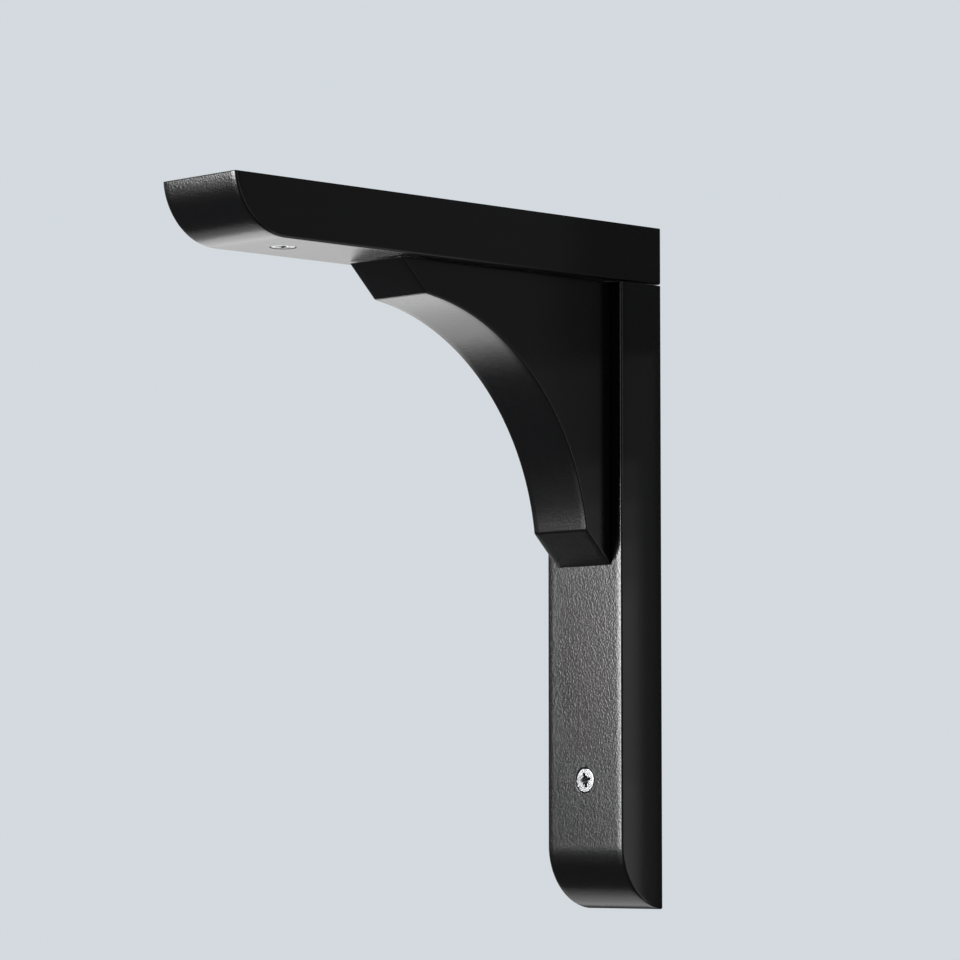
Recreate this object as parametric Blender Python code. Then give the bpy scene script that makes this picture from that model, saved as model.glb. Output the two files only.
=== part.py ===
"""Shelf bracket: two bars, the curved brace in the corner between them, and the screws through the bars.

Metres, +Z up. The bracket's flat back lies in the plane Y = 0 and it reaches out along -Y. The origin is
the middle of the post's back face, and X = 0 is the plane of symmetry.
"""
import math

import bmesh
import bpy

# Overall sizes
HEIGHT = 0.221
REACH = 0.1825
JOINT_GAP = 0.0003

# Bars: both are cut from the same stock. The free end is rounded over, by a little more than the thickness
BAR_WIDTH = 0.034
BAR_THICKNESS = 0.0185
END_RADIUS = 0.0206
BAR_EDGE_RADIUS = 0.0008
END_STEPS = 24

# Brace: sawn from a square blank, with the arc swung from the blank's outer corner
BRACE_WIDTH = 0.0243
BRACE_LEG = 0.0917
BRACE_TIP_CUT = 0.0107
BRACE_EDGE_RADIUS = 0.0006
ARC_STEPS = 36

# Edges of the faces that are glued, or that lie against something, are only broken, to this share
CONTACT_EDGE_SHARE = 0.5
EDGE_STEPS = 4
SHARP_ANGLE = math.radians(30)
FLAT_TOLERANCE = 0.000001

# Screws: countersunk, with a cross recess that has small flutes between its wings
HEAD_CONE_ANGLE = math.radians(45)
HEAD_RADIUS = 0.0038
HEAD_RIM = 0.0003
HEAD_SINK = 0.00015
SHANK_RADIUS = 0.002
SCREW_CLEARANCE = 0.0003
CUTTER_OVERRUN = 0.001
ROUND_STEPS = 48

RECESS_ARMS = 8
RECESS_DEPTH = 0.0024
RECESS_FLOOR_SCALE = 0.5
WING_REACH = 0.00235
WING_HALF_WIDTH = 0.0005
FLUTE_REACH = 0.0016
FLUTE_HALF_WIDTH = 0.00025
VALLEY_REACH = 0.00125

POST_SCREW_HEIGHT = 0.0415
POST_SCREW_TURN = math.radians(13)
ARM_SCREW_OFFSET = 0.1486
ARM_SCREW_TURN = math.radians(35)

# Places that follow from the sizes
POST_LENGTH = HEIGHT - BAR_THICKNESS - JOINT_GAP
POST_TOP = POST_LENGTH / 2
ARM_TOP = POST_TOP + JOINT_GAP + BAR_THICKNESS
SCREW_LENGTH = BAR_THICKNESS - SCREW_CLEARANCE

# Finishes: colour, roughness, metallic
BLACK_LACQUER = ((0.012, 0.012, 0.013, 1.0), 0.35, 0.0)
BRIGHT_ZINC = ((0.72, 0.73, 0.74, 1.0), 0.3, 1.0)


def clear_scene():
    for obj in list(bpy.data.objects):
        bpy.data.objects.remove(obj, do_unlink=True)


def make_material(name, finish):
    colour, roughness, metallic = finish
    material = bpy.data.materials.new(name)
    material.use_nodes = True
    shader = material.node_tree.nodes["Principled BSDF"]
    shader.inputs["Base Color"].default_value = colour
    shader.inputs["Roughness"].default_value = roughness
    shader.inputs["Metallic"].default_value = metallic
    return material


def add_object(name, bm):
    """Turn a bmesh into an object whose faces point out and whose round stretches are shaded smooth."""
    bmesh.ops.recalc_face_normals(bm, faces=bm.faces[:])
    mesh = bpy.data.meshes.new(name)
    bm.to_mesh(mesh)
    bm.free()
    mesh.shade_smooth()
    mesh.set_sharp_from_angle(angle=SHARP_ANGLE)
    obj = bpy.data.objects.new(name, mesh)
    bpy.context.scene.collection.objects.link(obj)
    return obj


def loft(name, rings):
    """A closed solid through rings of points that all have the same number of points."""
    bm = bmesh.new()
    loops = [[bm.verts.new(point) for point in ring] for ring in rings]
    bm.faces.new(loops[0])
    bm.faces.new(loops[-1])
    for loop, following in zip(loops, loops[1:]):
        for index in range(len(loop)):
            after = (index + 1) % len(loop)
            bm.faces.new((loop[index], loop[after], following[after], following[index]))
    return add_object(name, bm)


def weigh_edges(mesh):
    """Give sharp edges their share of the rounding: less in the contact faces, at local Y = 0 and Z = 0."""
    bm = bmesh.new()
    bm.from_mesh(mesh)
    weights = bm.edges.layers.float.new("bevel_weight_edge")
    for edge in bm.edges:
        if edge.calc_face_angle() > SHARP_ANGLE:
            farthest = [max(abs(vert.co[axis]) for vert in edge.verts) for axis in (1, 2)]
            in_contact_face = min(farthest) < FLAT_TOLERANCE
            edge[weights] = CONTACT_EDGE_SHARE if in_contact_face else 1.0
    bm.to_mesh(mesh)
    bm.free()


def sawn_piece(name, side_view, width, edge_radius, location, finish):
    """A piece of one side view in (y, z), sawn to a width across X, with all its edges rounded."""
    sides = [[(x, y, z) for y, z in side_view] for x in (-width / 2, width / 2)]
    piece = loft(name, sides)
    piece.location = location
    weigh_edges(piece.data)
    bevel = piece.modifiers.new("Rounded edges", 'BEVEL')
    bevel.width = edge_radius
    bevel.segments = EDGE_STEPS
    bevel.limit_method = 'WEIGHT'
    piece.data.materials.append(make_material(name, finish))
    return piece


def cut(piece, cutter):
    cutter.hide_render = True
    cutter.display_type = 'WIRE'
    boolean = piece.modifiers.new(cutter.name, 'BOOLEAN')
    boolean.operation = 'DIFFERENCE'
    boolean.solver = 'EXACT'
    boolean.object = cutter


def arc_points(centre, radius, start, end, steps):
    """Points on an arc, both ends included."""
    angles = [start + (end - start) * step / steps for step in range(steps + 1)]
    return [(centre[0] + radius * math.cos(a), centre[1] + radius * math.sin(a)) for a in angles]


def bar_side_view(length):
    """A bar seen from the side: (distance along it, distance through it), rounded over at the free end."""
    start = math.asin((END_RADIUS - BAR_THICKNESS) / END_RADIUS)
    centre = (length - END_RADIUS * math.cos(start), BAR_THICKNESS - END_RADIUS)
    round_end = arc_points(centre, END_RADIUS, start, math.pi / 2, END_STEPS)
    return [(0, 0), *round_end, (0, BAR_THICKNESS)]


def brace_side_view():
    """The brace seen from the side: (distance out, distance down) from its square inner corner."""
    long_side = BRACE_LEG - BRACE_TIP_CUT
    radius = math.hypot(long_side, BRACE_TIP_CUT)
    lean = math.atan2(BRACE_TIP_CUT, long_side)
    centre = (BRACE_LEG, BRACE_LEG)
    arc = arc_points(centre, radius, -math.pi / 2 - lean, -math.pi + lean, ARC_STEPS)
    return [(0, 0), (BRACE_LEG, 0), *arc, (0, BRACE_LEG)]


def make_arm():
    side_view = [(-along, -through) for along, through in bar_side_view(REACH)]
    return sawn_piece("arm", side_view, BAR_WIDTH, BAR_EDGE_RADIUS, (0, 0, ARM_TOP), BLACK_LACQUER)


def make_post():
    side_view = [(-through, -along) for along, through in bar_side_view(POST_LENGTH)]
    return sawn_piece("post", side_view, BAR_WIDTH, BAR_EDGE_RADIUS, (0, 0, POST_TOP), BLACK_LACQUER)


def make_brace():
    side_view = [(-out, -down) for out, down in brace_side_view()]
    inner_corner = (0, -BAR_THICKNESS - JOINT_GAP, POST_TOP)
    return sawn_piece("brace", side_view, BRACE_WIDTH, BRACE_EDGE_RADIUS, inner_corner, BLACK_LACQUER)


def turned_rings(profile):
    """Rings about Z through a profile of (radius, height) points."""
    angles = [2 * math.pi * step / ROUND_STEPS for step in range(ROUND_STEPS)]
    return [[(r * math.cos(a), r * math.sin(a), z) for a in angles] for r, z in profile]


def screw_rings(top, bottom, clearance):
    """A screw driven down -Z from the surface at height 0. The clearance widens it evenly, for its hole."""
    shoulder = -HEAD_SINK - HEAD_RIM - clearance * math.tan(HEAD_CONE_ANGLE / 2)
    neck = shoulder - (HEAD_RADIUS - SHANK_RADIUS) / math.tan(HEAD_CONE_ANGLE)
    head = HEAD_RADIUS + clearance
    shank = SHANK_RADIUS + clearance
    return turned_rings([(head, top), (head, shoulder), (shank, neck), (shank, bottom)])


def recess_ring(height, turn):
    """The cross recess at one height: long wings and short flutes by turns, narrowing with depth."""
    scale = 1 + (1 - RECESS_FLOOR_SCALE) * (height + HEAD_SINK) / RECESS_DEPTH
    ring = []
    for index in range(RECESS_ARMS):
        is_wing = index % 2 == 0
        reach, half_width = (WING_REACH, WING_HALF_WIDTH) if is_wing else (FLUTE_REACH, FLUTE_HALF_WIDTH)
        direction = turn + index * 2 * math.pi / RECESS_ARMS
        valley = direction + math.pi / RECESS_ARMS
        lean = math.atan2(half_width, reach)
        corner = math.hypot(reach, half_width)
        outline = [(corner, direction - lean), (corner, direction + lean), (VALLEY_REACH, valley)]
        for radius, angle in outline:
            ring.append((scale * radius * math.cos(angle), scale * radius * math.sin(angle), height))
    return ring


def make_screw(name, bar, location, rotation, turn):
    """A screw through a bar, with the hole that it sits in. It ends level with the bar's far face."""
    screw = loft(name, screw_rings(-HEAD_SINK, -SCREW_LENGTH, 0))
    recess = loft(name + "_recess", [recess_ring(CUTTER_OVERRUN, turn), recess_ring(-RECESS_DEPTH, turn)])
    hole = loft(name + "_hole", screw_rings(CUTTER_OVERRUN, -BAR_THICKNESS - CUTTER_OVERRUN, SCREW_CLEARANCE))
    for piece in (screw, recess, hole):
        piece.location = location
        piece.rotation_euler = rotation
    cut(screw, recess)
    cut(bar, hole)
    screw.data.materials.append(make_material(name, BRIGHT_ZINC))
    return screw


clear_scene()
arm = make_arm()
post = make_post()
brace = make_brace()

# The screw through the post is driven along +Y, and the one through the arm along +Z
post_screw_place = (0, -BAR_THICKNESS, POST_TOP - POST_LENGTH + POST_SCREW_HEIGHT)
post_screw = make_screw("post_screw", post, post_screw_place, (math.pi / 2, 0, 0), POST_SCREW_TURN)
arm_screw_place = (0, -ARM_SCREW_OFFSET, ARM_TOP - BAR_THICKNESS)
arm_screw = make_screw("arm_screw", arm, arm_screw_place, (math.pi, 0, 0), ARM_SCREW_TURN)

bracket = bpy.data.objects.new("shelf_bracket", None)
bpy.context.scene.collection.objects.link(bracket)
for piece in (arm, post, brace, post_screw, arm_screw):
    piece.parent = bracket
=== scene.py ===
"""Looks of the shelf bracket: black lacquered bars and brace, bright zinc screws, plain studio light."""
import math

import bpy
from mathutils import Euler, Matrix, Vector


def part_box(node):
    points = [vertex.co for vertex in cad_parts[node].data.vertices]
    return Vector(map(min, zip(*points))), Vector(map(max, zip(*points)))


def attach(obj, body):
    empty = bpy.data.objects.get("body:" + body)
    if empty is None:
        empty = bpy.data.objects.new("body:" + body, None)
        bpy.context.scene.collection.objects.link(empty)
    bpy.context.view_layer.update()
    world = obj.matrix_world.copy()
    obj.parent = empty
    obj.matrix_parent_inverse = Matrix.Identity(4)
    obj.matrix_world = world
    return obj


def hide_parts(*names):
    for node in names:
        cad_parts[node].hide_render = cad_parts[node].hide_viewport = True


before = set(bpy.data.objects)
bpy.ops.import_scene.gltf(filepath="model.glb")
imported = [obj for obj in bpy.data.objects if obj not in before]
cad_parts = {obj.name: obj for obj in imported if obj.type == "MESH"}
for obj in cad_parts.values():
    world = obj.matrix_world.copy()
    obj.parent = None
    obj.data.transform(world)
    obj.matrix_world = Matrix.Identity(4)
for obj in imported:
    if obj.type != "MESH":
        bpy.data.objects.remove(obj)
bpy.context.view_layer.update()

# Camera: a long lens, level with the lower half of the bracket and well to its right. It looks up a little.
CAMERA_PLACE = (0.98995, -1.01672, -0.0768)
CAMERA_AZIMUTH = math.radians(46.138)
CAMERA_PITCH = math.radians(4.653)
CAMERA_LENS = 162.99
bpy.ops.object.camera_add(location=CAMERA_PLACE, rotation=(math.pi / 2 + CAMERA_PITCH, 0, CAMERA_AZIMUTH))
camera = bpy.context.object
camera.name = "camera"
camera.data.lens = CAMERA_LENS
bpy.context.scene.camera = camera

# Arm: the level bar, planed from straight-grained wood. Its free end is rounded over below. All its edges
# are eased, those of its top and back faces less. It lies over the end of the post and is glued to it, and
# then the whole bracket is sprayed with black satin lacquer, which dries with a finely pebbled surface.
END_RADIUS = 0.0206
END_STEPS = 40
PLANING_ALLOWANCE = 0.002
BAR_EDGE_RADIUS = 0.0008
CONTACT_EDGE_SHARE = 0.5
EDGE_STEPS = 6
SHARP_ANGLE = math.radians(30)
PLACE_TOLERANCE = 0.00002
Y, Z = 1, 2

# Its screw hole is countersunk, and the screw sits in it with a little room all round
HEAD_RADIUS = 0.0038
HEAD_SINK = 0.00015
HEAD_RIM = 0.0003
HEAD_CONE_ANGLE = math.radians(45)
SHANK_RADIUS = 0.002
HOLE_CLEARANCE = 0.0003
HOLE_EDGE_RADIUS = 0.00025
EASING_STEPS = 3
CUTTER_OVERRUN = 0.001
TURNED_STEPS = 96


def pick(piece):
    """Make a piece the only one that is selected, and the active one."""
    bpy.ops.object.select_all(action='DESELECT')
    piece.select_set(True)
    bpy.context.view_layer.objects.active = piece


def open_with(piece, kind, wanted):
    """Open a piece in edit mode with those of its vertices, edges or faces selected that are wanted."""
    pick(piece)
    bpy.ops.object.mode_set(mode='EDIT')
    bpy.ops.mesh.select_mode(type=kind)
    bpy.ops.mesh.select_all(action='DESELECT')
    bpy.ops.object.mode_set(mode='OBJECT')
    mesh = piece.data
    parts = {'VERT': mesh.vertices, 'EDGE': mesh.edges, 'FACE': mesh.polygons}[kind]
    for part in parts:
        part.select = wanted(part)
    bpy.ops.object.mode_set(mode='EDIT')


def close_edit():
    bpy.ops.object.mode_set(mode='OBJECT')


def lies_in(piece, part, axis, level):
    """Whether an edge or a face lies in the plane where that axis has that level."""
    return all(abs(piece.data.vertices[index].co[axis] - level) < PLACE_TOLERANCE for index in part.vertices)


def saw_block(name, low, high):
    """A block that fills the box between two corners."""
    bpy.ops.object.select_all(action='DESELECT')
    bpy.ops.mesh.primitive_cube_add(size=1, location=(low + high) / 2, scale=high - low)
    block = bpy.context.object
    block.name = name
    bpy.ops.object.transform_apply(location=True, rotation=True, scale=True)
    return block


def apply_modifier(piece, kind, **settings):
    """Give a piece a modifier and settle what it does in the mesh."""
    pick(piece)
    modifier = piece.modifiers.new(kind, kind)
    for setting, value in settings.items():
        setattr(modifier, setting, value)
    bpy.ops.object.modifier_apply(modifier=kind)


def round_edges(piece, radius, contact_planes):
    """Round all the sharp edges of a piece, those in the contact planes less."""
    open_with(piece, 'EDGE', lambda edge: False)
    bpy.ops.mesh.edges_select_sharp(sharpness=SHARP_ANGLE)
    bpy.ops.transform.edge_bevelweight(value=1)
    close_edit()
    # The operator adds to the weight, which is 1 on these edges
    open_with(piece, 'EDGE', lambda edge: any(lies_in(piece, edge, *plane) for plane in contact_planes))
    bpy.ops.transform.edge_bevelweight(value=CONTACT_EDGE_SHARE - 1)
    close_edit()
    apply_modifier(
        piece, 'BEVEL', width=radius, segments=EDGE_STEPS, limit_method='WEIGHT', use_clamp_overlap=False
    )


def carve(piece, cutter):
    """Take a cutter's shape out of a piece, and remove the cutter."""
    apply_modifier(piece, 'BOOLEAN', operation='DIFFERENCE', solver='EXACT', object=cutter)
    bpy.data.objects.remove(cutter)


def turn_shape(name, profile):
    """A round solid about Z, extruded ring by ring through a profile of (radius, height) steps."""
    bpy.ops.object.select_all(action='DESELECT')
    (radius, height), *following = profile
    bpy.ops.mesh.primitive_circle_add(
        vertices=TURNED_STEPS, radius=radius, fill_type='NGON', location=(0, 0, height)
    )
    shape = bpy.context.object
    shape.name = name
    bpy.ops.object.transform_apply(location=True, rotation=True, scale=True)
    open_with(shape, 'FACE', lambda face: True)
    for next_radius, next_height in following:
        bpy.ops.mesh.extrude_region_move(TRANSFORM_OT_translate={"value": (0, 0, next_height - height)})
        share = next_radius / radius
        bpy.ops.transform.resize(value=(share, share, 1), center_override=(0, 0, next_height))
        radius, height = next_radius, next_height
    bpy.ops.mesh.select_all(action='SELECT')
    bpy.ops.mesh.normals_make_consistent(inside=False)
    close_edit()
    return shape


def screw_profile(top, length, clearance):
    """The outline of a countersunk screw below the surface at height 0, widened by the clearance."""
    shoulder = -HEAD_SINK - HEAD_RIM - clearance * math.tan(HEAD_CONE_ANGLE / 2)
    neck = shoulder - (HEAD_RADIUS - SHANK_RADIUS) / math.tan(HEAD_CONE_ANGLE)
    head, shank = HEAD_RADIUS + clearance, SHANK_RADIUS + clearance
    return [(head, top), (head, shoulder), (shank, neck), (shank, -length)]


def put_in_place(piece, place, rotation):
    """Move a piece that was made at the origin to where it goes, and settle that in its mesh."""
    pick(piece)
    piece.location = place
    piece.rotation_euler = rotation
    bpy.ops.object.transform_apply(location=True, rotation=True, scale=True)


def drill_screw_hole(bar, place, rotation, depth):
    """A countersunk hole through a bar, with its rim eased."""
    cutter = turn_shape("countersink", screw_profile(CUTTER_OVERRUN, depth + CUTTER_OVERRUN, HOLE_CLEARANCE))
    put_in_place(cutter, place, rotation)
    carve(bar, cutter)
    rim_radius = HEAD_RADIUS + HOLE_CLEARANCE

    def is_rim(edge):
        ends = [bar.data.vertices[index].co - Vector(place) for index in edge.vertices]
        return all(abs(end.length - rim_radius) < PLACE_TOLERANCE for end in ends)

    open_with(bar, 'EDGE', is_rim)
    bpy.ops.mesh.bevel(offset=HOLE_EDGE_RADIUS, segments=EASING_STEPS, affect='EDGES')
    close_edit()


def finish_shading(piece):
    """Round stretches shade smoothly, broad faces stay flat, and the edges that are still sharp show."""
    pick(piece)
    bpy.ops.object.shade_smooth_by_angle(angle=SHARP_ANGLE)
    apply_modifier(piece, 'WEIGHTED_NORMAL', keep_sharp=True)


def plane_bar(name, node, cut_axis, end_axis):
    """A bar that fills its node's box. The end's lower front edge is rounded over while the blank is still
    too thick, and the blank is then planed down to the bar's thickness along the cut axis."""
    low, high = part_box(node)
    thickness = high[cut_axis] - low[cut_axis]
    blank_low, blank_high = low.copy(), high.copy()
    # Planing cuts into the round end and shortens the bar, so the blank is that much longer
    blank_low[end_axis] -= END_RADIUS - math.sqrt(END_RADIUS ** 2 - (END_RADIUS - thickness) ** 2)
    blank_high[cut_axis] = low[cut_axis] + END_RADIUS + PLANING_ALLOWANCE
    bar = saw_block(name, blank_low, blank_high)

    def is_end_edge(edge):
        is_low = lies_in(bar, edge, cut_axis, low[cut_axis])
        return is_low and lies_in(bar, edge, end_axis, blank_low[end_axis])

    open_with(bar, 'EDGE', is_end_edge)
    bpy.ops.mesh.bevel(offset=END_RADIUS, segments=END_STEPS, affect='EDGES')
    bpy.ops.mesh.select_all(action='SELECT')
    planed_side = Vector((0, 0, 0))
    planed_side[cut_axis] = 1
    bpy.ops.mesh.bisect(plane_co=high, plane_no=planed_side, use_fill=True, clear_outer=True)
    close_edit()
    round_edges(bar, BAR_EDGE_RADIUS, [(Y, high.y), (Z, high.z)])
    return bar


# Lacquer: a film so thin that the wood's grain shows in it as a faint relief. The scales and the grain's
# stretch say about how many pebbles, clouds or lines there are to the metre.
PEBBLE_SCALE = 1700
PEBBLE_DETAIL = 1
GRAIN_STRETCH = (12, 420, 420)
GRAIN_DETAIL = 3
GRAIN_HEIGHT = 0.1
CLOUD_SCALE = 45
CLOUD_DETAIL = 4
GLOSS_RANGE = (0.17, 0.2)
BLACK_RANGE = ((0.0022, 0.0022, 0.0024, 1), (0.0038, 0.0038, 0.0042, 1))


def add_group_socket(group, name, direction, kind, value=None):
    """Give a node group an input or an output."""
    socket = group.interface.new_socket(name, in_out=direction, socket_type="NodeSocket" + kind)
    if value is not None:
        socket.default_value = value


def make_lacquer_group():
    """Sprayed lacquer over wood. The grain runs along X of the vector that it is given."""
    group = bpy.data.node_groups.new("Sprayed lacquer", 'ShaderNodeTree')
    add_group_socket(group, "Vector", 'INPUT', "Vector")
    add_group_socket(group, "Pebble Scale", 'INPUT', "Float", PEBBLE_SCALE)
    add_group_socket(group, "Grain Height", 'INPUT', "Float", GRAIN_HEIGHT)
    add_group_socket(group, "Colour", 'OUTPUT', "Color")
    add_group_socket(group, "Roughness", 'OUTPUT', "Float")
    add_group_socket(group, "Height", 'OUTPUT', "Float")
    nodes, links = group.nodes, group.links
    given = nodes.new('NodeGroupInput')
    result = nodes.new('NodeGroupOutput')

    pebbles = nodes.new('ShaderNodeTexNoise')
    pebbles.inputs["Detail"].default_value = PEBBLE_DETAIL
    links.new(given.outputs["Vector"], pebbles.inputs["Vector"])
    links.new(given.outputs["Pebble Scale"], pebbles.inputs["Scale"])
    along_grain = nodes.new('ShaderNodeMapping')
    along_grain.inputs["Scale"].default_value = GRAIN_STRETCH
    links.new(given.outputs["Vector"], along_grain.inputs["Vector"])
    grain = nodes.new('ShaderNodeTexNoise')
    grain.inputs["Scale"].default_value = 1
    grain.inputs["Detail"].default_value = GRAIN_DETAIL
    links.new(along_grain.outputs["Vector"], grain.inputs["Vector"])
    height = nodes.new('ShaderNodeMath')
    height.operation = 'MULTIPLY_ADD'
    links.new(grain.outputs["Fac"], height.inputs[0])
    links.new(given.outputs["Grain Height"], height.inputs[1])
    links.new(pebbles.outputs["Fac"], height.inputs[2])
    links.new(height.outputs["Value"], result.inputs["Height"])

    clouds = nodes.new('ShaderNodeTexNoise')
    clouds.inputs["Scale"].default_value = CLOUD_SCALE
    clouds.inputs["Detail"].default_value = CLOUD_DETAIL
    links.new(given.outputs["Vector"], clouds.inputs["Vector"])
    sheen = nodes.new('ShaderNodeMapRange')
    sheen.inputs["To Min"].default_value, sheen.inputs["To Max"].default_value = GLOSS_RANGE
    links.new(clouds.outputs["Fac"], sheen.inputs["Value"])
    links.new(sheen.outputs["Result"], result.inputs["Roughness"])
    tint = nodes.new('ShaderNodeMix')
    tint.data_type = 'RGBA'
    tint.inputs["A"].default_value, tint.inputs["B"].default_value = BLACK_RANGE
    links.new(grain.outputs["Fac"], tint.inputs["Factor"])
    links.new(tint.outputs["Result"], result.inputs["Colour"])
    return group


# Sanding: the sander tips a little over each edge, so the faces fall off toward it
SANDED_REACH = 0.0028
SANDED_SLOPE = 0.09


def make_sanding_group():
    """Normals of faces that fall off toward the sides of a box, ever steeper over the last stretch."""
    group = bpy.data.node_groups.new("Sanded faces", 'ShaderNodeTree')
    add_group_socket(group, "Centre", 'INPUT', "Vector")
    add_group_socket(group, "Half Size", 'INPUT', "Vector")
    add_group_socket(group, "Normal", 'OUTPUT', "Vector")
    nodes, links = group.nodes, group.links
    given = nodes.new('NodeGroupInput')
    result = nodes.new('NodeGroupOutput')
    place = nodes.new('ShaderNodeTexCoord')
    surface = nodes.new('ShaderNodeNewGeometry')

    def vector_math(operation, *inputs):
        """What a vector operation makes of its inputs, each a socket or a plain tuple."""
        node = nodes.new('ShaderNodeVectorMath')
        node.operation = operation
        for socket, given_input in zip(node.inputs, inputs):
            if isinstance(given_input, tuple):
                socket.default_value = given_input
            else:
                links.new(given_input, socket)
        return node.outputs["Vector"]

    off_centre = vector_math('SUBTRACT', place.outputs["Object"], given.outputs["Centre"])
    distance = vector_math('SUBTRACT', given.outputs["Half Size"], vector_math('ABSOLUTE', off_centre))
    share = vector_math('MULTIPLY_ADD', distance, (-1 / SANDED_REACH,) * 3, (1, 1, 1))
    steepness = vector_math('MULTIPLY', vector_math('MAXIMUM', share, (0, 0, 0)), (SANDED_SLOPE,) * 3)
    tilt = vector_math('MULTIPLY', steepness, vector_math('SIGN', off_centre))
    fallen = vector_math('NORMALIZE', vector_math('ADD', surface.outputs["Normal"], tilt))
    links.new(fallen, result.inputs["Normal"])
    return group


LACQUER_IOR = 1.5
RELIEF_DEPTH = 0.00005


def lacquer_material(name, grain_turn, sanded_low, sanded_high):
    """Black lacquer on a piece whose grain lies along X once it has that turn, and whose faces were sanded
    down toward the sides of the box between two corners."""
    material = bpy.data.materials.new(name)
    material.use_nodes = True
    nodes, links = material.node_tree.nodes, material.node_tree.links
    shader = nodes["Principled BSDF"]
    shader.inputs["IOR"].default_value = LACQUER_IOR
    place = nodes.new('ShaderNodeTexCoord')
    turned = nodes.new('ShaderNodeMapping')
    turned.inputs["Rotation"].default_value = grain_turn
    film = nodes.new('ShaderNodeGroup')
    film.node_tree = lacquer_group
    sanding = nodes.new('ShaderNodeGroup')
    sanding.node_tree = sanding_group
    sanding.inputs["Centre"].default_value = (sanded_low + sanded_high) / 2
    sanding.inputs["Half Size"].default_value = (sanded_high - sanded_low) / 2
    relief = nodes.new('ShaderNodeBump')
    relief.inputs["Distance"].default_value = RELIEF_DEPTH
    links.new(place.outputs["Object"], turned.inputs["Vector"])
    links.new(turned.outputs["Vector"], film.inputs["Vector"])
    links.new(film.outputs["Colour"], shader.inputs["Base Color"])
    links.new(film.outputs["Roughness"], shader.inputs["Roughness"])
    links.new(film.outputs["Height"], relief.inputs["Height"])
    links.new(sanding.outputs["Normal"], relief.inputs["Normal"])
    links.new(relief.outputs["Normal"], shader.inputs["Normal"])
    return material


# Flat sides, such as the top and the back, are left out of the sanding: its box reaches past them
FLAT_SIDES = Vector((0, SANDED_REACH, SANDED_REACH))
lacquer_group = make_lacquer_group()
sanding_group = make_sanding_group()

ARM_GRAIN_TURN = (0, 0, math.pi / 2)
ARM_SCREW_ROTATION = (math.pi, 0, 0)
arm_low, arm_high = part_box("arm")
arm_screw_low, arm_screw_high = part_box("arm_screw")
arm_screw_place = (0, (arm_screw_low.y + arm_screw_high.y) / 2, arm_low.z)
arm = plane_bar("arm_bar", "arm", cut_axis=Z, end_axis=Y)
drill_screw_hole(arm, arm_screw_place, ARM_SCREW_ROTATION, arm_high.z - arm_low.z)
finish_shading(arm)
arm.data.materials.append(
    lacquer_material("lacquer on the arm", ARM_GRAIN_TURN, arm_low, arm_high + FLAT_SIDES)
)
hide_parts("arm")
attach(arm, "root")

# Post: the upright bar, from the same stock as the arm and with the same round end, here at its foot and in
# front. The screw that holds the bracket up goes through it near the foot.
POST_GRAIN_TURN = (0, math.pi / 2, 0)
POST_SCREW_ROTATION = (math.pi / 2, 0, 0)
post_low, post_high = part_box("post")
post_screw_low, post_screw_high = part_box("post_screw")
post_screw_place = (0, post_low.y, (post_screw_low.z + post_screw_high.z) / 2)
post = plane_bar("post_bar", "post", cut_axis=Y, end_axis=Z)
drill_screw_hole(post, post_screw_place, POST_SCREW_ROTATION, post_high.y - post_low.y)
finish_shading(post)
post.data.materials.append(
    lacquer_material("lacquer on the post", POST_GRAIN_TURN, post_low, post_high + FLAT_SIDES)
)
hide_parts("post")
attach(post, "root")

# Brace: a narrower board glued in the corner between the bars. A square blank is sawn from corner to
# corner, along the grain, and an arc is cut into the sawn side, swung from the blank's lost corner. The tips
# stay blunt.
BRACE_LEG = 0.0917
BRACE_TIP_CUT = 0.0107
BRACE_EDGE_RADIUS = 0.0006
BRACE_GRAIN_TURN = (math.pi / 4, 0, math.pi / 2)
ARC_STEPS = 256
arc_radius = math.hypot(BRACE_LEG - BRACE_TIP_CUT, BRACE_TIP_CUT)
brace_low, brace_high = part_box("brace")
blank_low = Vector((brace_low.x, brace_high.y - BRACE_LEG, brace_high.z - BRACE_LEG))
brace = saw_block("brace_board", blank_low, brace_high)
open_with(brace, 'FACE', lambda face: True)
bpy.ops.mesh.bisect(
    plane_co=(0, blank_low.y, brace_high.z), plane_no=(0, -1, -1), use_fill=True, clear_outer=True
)
close_edit()
bpy.ops.object.select_all(action='DESELECT')
bpy.ops.mesh.primitive_cylinder_add(
    vertices=ARC_STEPS,
    radius=arc_radius,
    depth=2 * (brace_high.x - brace_low.x),
    location=(0, blank_low.y, blank_low.z),
    rotation=(0, math.pi / 2, 0),
)
carve(brace, bpy.context.object)
round_edges(brace, BRACE_EDGE_RADIUS, [(Y, brace_high.y), (Z, brace_high.z)])
finish_shading(brace)
brace.data.materials.append(
    lacquer_material(
        "lacquer on the brace", BRACE_GRAIN_TURN, brace_low - FLAT_SIDES, brace_high + FLAT_SIDES
    )
)
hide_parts("brace")
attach(brace, "root")

# Screws: zinc-plated steel wood screws with flat countersunk heads. The cross recess is pressed into the
# head: four tapered wings round a conical core, four short flutes between them, and a fine tick beyond each
# flute. The one in the post shows its head in front, the one in the arm below.
HEAD_EDGE_RADIUS = 0.00015
WING_LENGTH = 0.0047
WING_WIDTH = 0.0011
FLUTE_LENGTH = 0.0033
FLUTE_WIDTH = 0.0007
FLUTE_DEPTH = 0.0017
RECESS_DEPTH = 0.0024
RECESS_TAPER = 0.5
CORE_RADIUS = 0.00125
CORE_FLOOR_RADIUS = 0.0006
TICK_START = 0.002
TICK_LENGTH = 0.0011
TICK_WIDTH = 0.0002
TICK_DEPTH = 0.00012
POST_SCREW_TURN = math.radians(13)
ARM_SCREW_TURN = math.radians(35)

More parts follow.
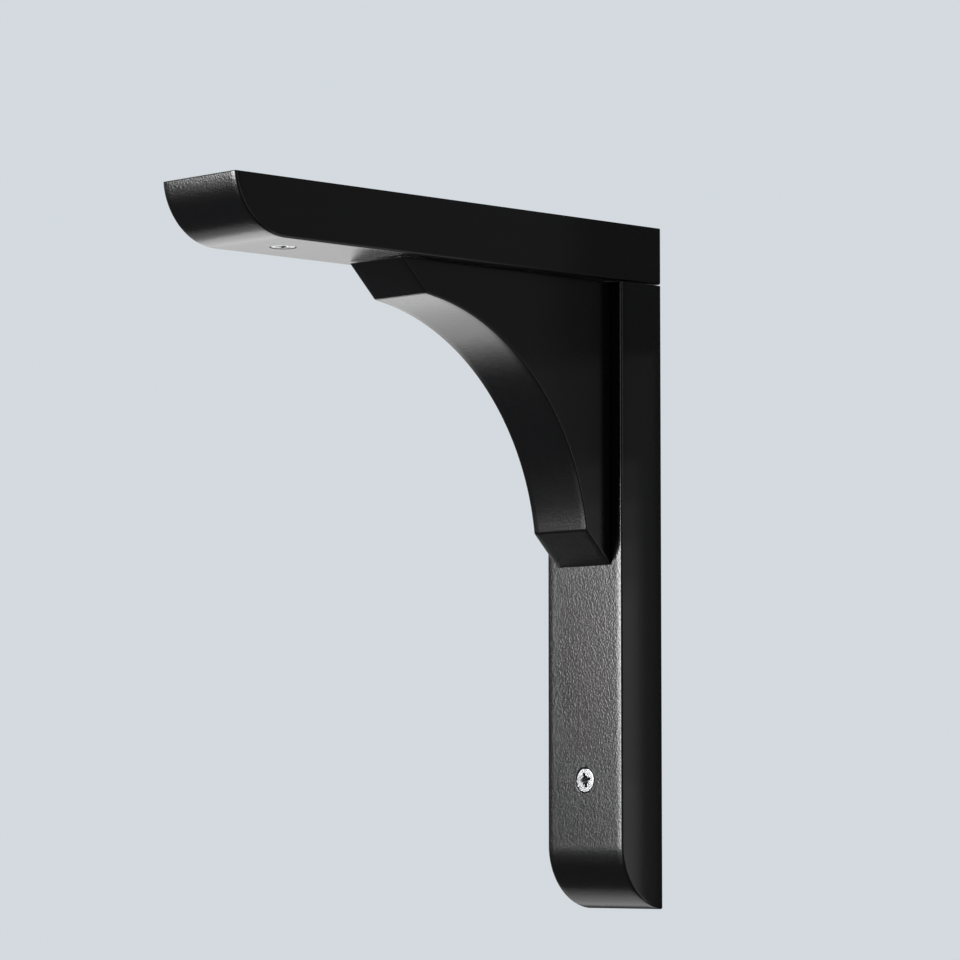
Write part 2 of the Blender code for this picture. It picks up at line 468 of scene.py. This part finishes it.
ZINC_RANGE = ((0.4, 0.41, 0.42, 1), (0.6, 0.61, 0.62, 1))
ZINC_GLOSS_RANGE = (0.14, 0.22)
SPANGLE_SCALE = 2200
SPANGLE_DETAIL = 3
SPANGLE_RELIEF = 0.00001
# Painted shade: the zinc's colour falls to this share over this depth below the head's face, down in the
# recess
PAINTED_RECESS_SHADE = 0.35
PAINTED_SHADE_DEPTH = 0.0007


def zinc_material(name, place, rotation):
    """Bright zinc on a screw at that place, with a fine spangle, and painted shade that darkens its colour
    down in the recess.
    """
    material = bpy.data.materials.new(name)
    material.use_nodes = True
    nodes, links = material.node_tree.nodes, material.node_tree.links
    shader = nodes["Principled BSDF"]
    shader.inputs["Metallic"].default_value = 1
    where = nodes.new('ShaderNodeTexCoord')
    spangle = nodes.new('ShaderNodeTexNoise')
    spangle.inputs["Scale"].default_value = SPANGLE_SCALE
    spangle.inputs["Detail"].default_value = SPANGLE_DETAIL
    links.new(where.outputs["Object"], spangle.inputs["Vector"])
    tint = nodes.new('ShaderNodeMix')
    tint.data_type = 'RGBA'
    tint.inputs["A"].default_value, tint.inputs["B"].default_value = ZINC_RANGE
    links.new(spangle.outputs["Fac"], tint.inputs["Factor"])

    down_the_screw = Euler(rotation).to_matrix() @ Vector((0, 0, -1))
    from_face = nodes.new('ShaderNodeVectorMath')
    from_face.operation = 'SUBTRACT'
    from_face.inputs[1].default_value = place
    links.new(where.outputs["Object"], from_face.inputs[0])
    depth = nodes.new('ShaderNodeVectorMath')
    depth.operation = 'DOT_PRODUCT'
    depth.inputs[1].default_value = down_the_screw
    links.new(from_face.outputs["Vector"], depth.inputs[0])
    # Painted shade: the deeper in the recess, the darker the colour
    shade = nodes.new('ShaderNodeMapRange')
    shade.inputs["From Min"].default_value = HEAD_SINK
    shade.inputs["From Max"].default_value = HEAD_SINK + PAINTED_SHADE_DEPTH
    shade.inputs["To Min"].default_value = 1
    shade.inputs["To Max"].default_value = PAINTED_RECESS_SHADE
    links.new(depth.outputs["Value"], shade.inputs["Value"])
    shaded = nodes.new('ShaderNodeVectorMath')
    shaded.operation = 'SCALE'
    links.new(tint.outputs["Result"], shaded.inputs["Vector"])
    links.new(shade.outputs["Result"], shaded.inputs["Scale"])
    links.new(shaded.outputs["Vector"], shader.inputs["Base Color"])

    sheen = nodes.new('ShaderNodeMapRange')
    sheen.inputs["To Min"].default_value, sheen.inputs["To Max"].default_value = ZINC_GLOSS_RANGE
    links.new(spangle.outputs["Fac"], sheen.inputs["Value"])
    links.new(sheen.outputs["Result"], shader.inputs["Roughness"])
    relief = nodes.new('ShaderNodeBump')
    relief.inputs["Distance"].default_value = SPANGLE_RELIEF
    links.new(spangle.outputs["Fac"], relief.inputs["Height"])
    links.new(relief.outputs["Normal"], shader.inputs["Normal"])
    return material


def carve_slot(screw, length, width, depth, taper, angle, offset=0):
    """Sink a slot into the head, at an angle about the screw's axis and with its middle that far off it. Its
    length and width are those at the head's face, and the taper is their share left at its floor."""
    low = Vector((offset - length / 2, -width / 2, -HEAD_SINK - depth))
    high = Vector((offset + length / 2, width / 2, -HEAD_SINK + CUTTER_OVERRUN))
    cutter = saw_block("slot", low, high)
    for level, share in ((low.z, taper), (high.z, 1 + (1 - taper) * CUTTER_OVERRUN / depth)):
        open_with(cutter, 'FACE', lambda face: lies_in(cutter, face, Z, level))
        bpy.ops.transform.resize(value=(share, share, 1), center_override=(offset, 0, level))
        close_edit()
    put_in_place(cutter, (0, 0, 0), (0, 0, angle))
    carve(screw, cutter)


def make_screw(name, place, rotation, turn, length):
    """A screw with its head just below the surface at that place, and its recess turned by that angle."""
    screw = turn_shape(name, screw_profile(-HEAD_SINK, length, 0))
    open_with(screw, 'EDGE', lambda edge: lies_in(screw, edge, Z, -HEAD_SINK))
    bpy.ops.mesh.bevel(offset=HEAD_EDGE_RADIUS, segments=EASING_STEPS, affect='EDGES')
    close_edit()
    mouth_radius = CORE_RADIUS + (CORE_RADIUS - CORE_FLOOR_RADIUS) * CUTTER_OVERRUN / RECESS_DEPTH
    mouth = (mouth_radius, CUTTER_OVERRUN - HEAD_SINK)
    bottom = (CORE_FLOOR_RADIUS, -HEAD_SINK - RECESS_DEPTH)
    carve(screw, turn_shape("core", [mouth, bottom]))

    # Each wing or flute slot runs right across the head, and each tick lies on one side of it
    for quarter in range(2):
        angle = turn + quarter * math.pi / 2
        carve_slot(screw, WING_LENGTH, WING_WIDTH, RECESS_DEPTH, RECESS_TAPER, angle)
        carve_slot(screw, FLUTE_LENGTH, FLUTE_WIDTH, FLUTE_DEPTH, RECESS_TAPER, angle + math.pi / 4)
    for quarter in range(4):
        angle = turn + math.pi / 4 + quarter * math.pi / 2
        carve_slot(screw, TICK_LENGTH, TICK_WIDTH, TICK_DEPTH, 1, angle, TICK_START + TICK_LENGTH / 2)

    # The floors of the wings and of the core lie level, and become one face without the cutters' traces
    open_with(screw, 'FACE', lambda face: lies_in(screw, face, Z, -HEAD_SINK - RECESS_DEPTH))
    bpy.ops.mesh.dissolve_faces(use_verts=True)
    close_edit()
    put_in_place(screw, place, rotation)
    finish_shading(screw)
    screw.data.materials.append(zinc_material(name + "_zinc", place, rotation))
    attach(screw, "root")
    return screw


post_screw = make_screw(
    "post_wood_screw", post_screw_place, POST_SCREW_ROTATION, POST_SCREW_TURN, post_screw_high.y - post_low.y
)
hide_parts("post_screw")
arm_screw = make_screw(
    "arm_wood_screw", arm_screw_place, ARM_SCREW_ROTATION, ARM_SCREW_TURN, arm_screw_high.z - arm_low.z
)
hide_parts("arm_screw")

# Stage: a plain pale floor far below, which glows a little, and an even pale backdrop. Only the camera sees
# them. What the black pieces mirror is the soft panels, and dim grey surroundings between those.
FLOOR_HEIGHT = -1.2
FLOOR_SIZE = 8
FLOOR_COLOUR = (0.7, 0.72, 0.74, 1)
FLOOR_ROUGHNESS = 0.9
FLOOR_GLOW = 0.8
BACKDROP = (0.658, 0.701, 0.738, 1)
SURROUNDINGS = (0.078, 0.08, 0.085, 1)

bpy.ops.mesh.primitive_plane_add(size=FLOOR_SIZE, location=(0, 0, FLOOR_HEIGHT))
floor = bpy.context.object
floor.name = "floor"
floor.visible_glossy = False
floor.visible_diffuse = False
floor_paint = bpy.data.materials.new("pale floor")
floor_paint.use_nodes = True
floor_shader = floor_paint.node_tree.nodes["Principled BSDF"]
floor_shader.inputs["Base Color"].default_value = FLOOR_COLOUR
floor_shader.inputs["Roughness"].default_value = FLOOR_ROUGHNESS
floor_shader.inputs["Emission Color"].default_value = BACKDROP
floor_shader.inputs["Emission Strength"].default_value = FLOOR_GLOW
floor.data.materials.append(floor_paint)

world = bpy.data.worlds.new("studio")
world.use_nodes = True
bpy.context.scene.world = world
nodes, links = world.node_tree.nodes, world.node_tree.links
seen = nodes["Background"]
seen.inputs["Color"].default_value = BACKDROP
mirrored = nodes.new('ShaderNodeBackground')
mirrored.inputs["Color"].default_value = SURROUNDINGS
rays = nodes.new('ShaderNodeLightPath')
choice = nodes.new('ShaderNodeMixShader')
links.new(rays.outputs["Is Camera Ray"], choice.inputs["Fac"])
links.new(mirrored.outputs["Background"], choice.inputs[1])
links.new(seen.outputs["Background"], choice.inputs[2])
links.new(choice.outputs["Shader"], nodes["World Output"].inputs["Surface"])

# Lights: soft panels that the camera doesn't see. The black lacquer mirrors them, so each has its brightness
# given, and its power follows from that. A mirrored panel doesn't hide the ones behind it, so where panels
# overlap they add up. Only panels in one plane hide each other, so those that overlap stand a hair apart.
KEY_DIRECTION = Vector((0.592, 1.27, 0))
BOARD_DIRECTION = Vector((0, -1, 0))
BRACKET_MIDDLE = Vector((0, -0.06, 0))


def add_panel(name, place, direction, width, height, brightness):
    """A soft panel, its height as upright as the direction that it shines in allows."""
    bpy.ops.object.light_add(type='AREA', location=place)
    panel = bpy.context.object
    panel.name = name
    panel.rotation_euler = (-direction).to_track_quat('Z', 'Y').to_euler()
    panel.data.shape = 'RECTANGLE'
    panel.data.size = width
    panel.data.size_y = height
    panel.data.energy = math.pi * brightness * width * height
    panel.visible_camera = False


def add_key(name, place, width, height, brightness):
    """A panel in front and to the left, where the front faces and the rounded ends mirror it."""
    add_panel(name, place, KEY_DIRECTION, width, height, brightness)


def add_board(name, place, width, height, brightness):
    """A dim panel about level with the bracket's back, where its sides and its arc mirror it."""
    add_panel(name, place, BOARD_DIRECTION, width, height, brightness)


def add_fill(name, place, width, height, brightness):
    """A panel turned toward the bracket, for the views from the other sides."""
    add_panel(name, place, BRACKET_MIDDLE - Vector(place), width, height, brightness)


add_key("key", (-0.621, -1.315, 0.195), 0.665, 0.67, 13.6)
add_key("upper key", (-0.657, -1.304, 0.27), 0.74, 0.52, 4)
add_key("middle key", (-0.6583, -1.3067, 0.105), 0.74, 0.19, 7.5)
add_key("low key", (-0.682, -1.287, -0.195), 0.8, 0.11, 2.2)
add_key("low glow", (-0.628, -1.323, -0.42), 0.93, 0.56, 0.48)

add_board("far left board", (-0.5675, 0.004, -0.806), 0.865, 1.388, 0.53)
add_board("lower left board", (-0.219, 0.0042, -0.163), 0.462, 0.114, 0.42)
add_board("foot board", (-0.164, 0.0044, -0.133), 0.352, 0.054, 0.28)
add_board("left board", (-0.164, 0.0044, 0.005), 0.352, 0.21, 0.28)
add_board("inner left board", (-0.22, 0.0046, -0.025), 0.24, 0.27, 0.66)
add_board("bright left board", (-0.22, 0.0048, -0.06), 0.24, 0.2, 0.87)
add_board("near right board", (0.162, 0.0044, -0.11), 0.276, 0.38, 0.07)
add_board("outer right board", (0.1675, 0.0042, -0.15), 0.265, 0.3, 0.12)

# The main right board is a stack of five that reach less and less high, so that its upper edge fades out
STACK_TOPS = (0.045, 0.032, 0.019, 0.006, -0.06)
STACK_FOOT = -0.3
STACK_STAGGER = 0.0002
STACK_ACROSS, STACK_BACK = 0.1655, 0.004
STACK_WIDTH = 0.269
STACK_BRIGHTNESS = 0.1
for step, top in enumerate(STACK_TOPS):
    height = top - STACK_FOOT
    place = (STACK_ACROSS, STACK_BACK - STACK_STAGGER * step, top - height / 2)
    add_board(f"right board {step}", place, STACK_WIDTH, height, STACK_BRIGHTNESS)
add_board("upper right board", (0.18, 0.003, 0.09), 0.24, 0.22, 0.07)

add_fill("left fill", (-1.4, -0.1, 0.55), 0.9, 0.7, 1.5)
add_fill("right fill", (1.4, -0.1, 0.75), 0.9, 0.6, 1.5)
add_fill("top fill", (0, -0.1, 1.8), 1.2, 1.2, 2)
add_fill("back fill", (0.2, 2.0, 0.2), 1.8, 1.7, 1.1)
add_fill("front fill", (0.15, -1.9, 0.05), 1.0, 1.0, 1.1)
add_fill("low left fill", (-1.6, 0.05, -0.1), 0.9, 0.9, 0.5)
add_fill("low right fill", (1.6, 0.05, -0.1), 0.9, 0.9, 0.5)

bpy.context.scene.view_settings.view_transform = 'Standard'
